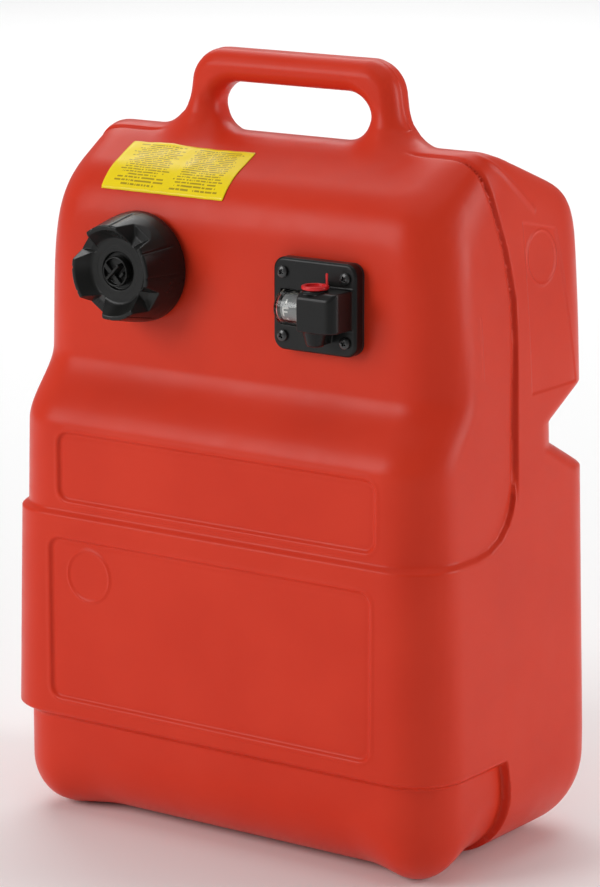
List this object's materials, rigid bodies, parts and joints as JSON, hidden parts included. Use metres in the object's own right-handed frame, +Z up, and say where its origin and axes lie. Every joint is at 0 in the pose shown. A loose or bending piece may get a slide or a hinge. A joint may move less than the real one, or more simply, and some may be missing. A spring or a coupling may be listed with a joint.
{
  "type": "portable outboard fuel tank",
  "caption": "Upright moulded fuel tank with carry handle, vented screw cap in the front, float gauge with a clear window and a plugged fuel outlet.",
  "frame": {"origin": "middle of the footprint on the face it stands on", "axes": "+Z up; -Y is the front, with the cap and the gauge; +X is the right-hand side seen from the front"},
  "size_m": [0.351, 0.215, 0.514],
  "materials": {
    "red_tank": "satin blow-moulded polyethylene",
    "black_plastic": "fine-grained moulded plastic",
    "rubber": "matte",
    "black_steel": "black finish",
    "clear_plastic": "clear moulded window",
    "white_plastic": "natural moulded plastic",
    "steel": "drawn wire and turned shaft",
    "drum_grey": "satin grey with white marks",
    "float_black": "closed-cell foam",
    "red_plug": "soft gloss plastic",
    "label_yellow": "printed film, satin"
  },
  "bodies": {
    "tank": {"tank_shell": "red_tank", "filler_neck": "red_tank", "flange_gasket": "rubber", "gauge_housing": "black_plastic", "flange_screws": "black_steel", "gauge_lens": "clear_plastic", "lens_seal": "rubber", "gauge_frame": "white_plastic", "pickup_tube": "white_plastic", "pickup_filter": "white_plastic", "label_film": "label_yellow"},
    "cap_seal": {"cap_gasket": "rubber"},
    "cap": {"cap_grip": "black_plastic", "cap_core": "black_plastic"},
    "vent_washer": {"vent_seal": "rubber"},
    "vent": {"vent_knob": "black_plastic"},
    "drum": {"gauge_drum": "drum_grey", "drum_gear": "white_plastic", "drum_shaft": "steel"},
    "arm": {"arm_shaft": "steel", "arm_gear": "white_plastic", "float_arm": "steel", "float": "float_black", "float_clip": "steel"},
    "plug": {"outlet_plug": "red_plug"}
  },
  "joints": [
    {"name": "cap_lift", "type": "slide", "parent": "tank", "child": "cap_seal", "axis": [0, -1, 0], "range_m": [0, 0.01]},
    {"name": "cap_turn", "type": "hinge", "parent": "cap_seal", "child": "cap", "pos_m": [-0.069, -0.095, 0.3788], "axis": [0, -1, 0], "range_deg": [0, 720]},
    {"name": "vent_lift", "type": "slide", "parent": "cap", "child": "vent_washer", "axis": [0, -1, 0], "range_m": [0, 0.002]},
    {"name": "vent_turn", "type": "hinge", "parent": "vent_washer", "child": "vent", "pos_m": [-0.069, -0.1, 0.3788], "axis": [0, -1, 0], "range_deg": [0, 360]},
    {"name": "arm_swing", "type": "hinge", "parent": "tank", "child": "arm", "pos_m": [0.077, -0.056, 0.3657], "axis": [0, 1, 0], "range_deg": [0, 100]},
    {"name": "drum_turn", "type": "hinge", "parent": "tank", "child": "drum", "pos_m": [0.0625, -0.084, 0.3657], "axis": [1, 0, 0], "range_deg": [0, 100]},
    {"name": "plug_pull", "type": "slide", "parent": "tank", "child": "plug", "axis": [0, 0, 1], "range_m": [0, 0.012]}
  ],
  "couplings": [
    {"joint": "cap_lift", "follows": "cap_turn", "m_per_rad": 0.00079577},
    {"joint": "vent_lift", "follows": "vent_turn", "m_per_rad": 0.00031831},
    {"joint": "drum_turn", "follows": "arm_swing", "ratio": 1}
  ]
}
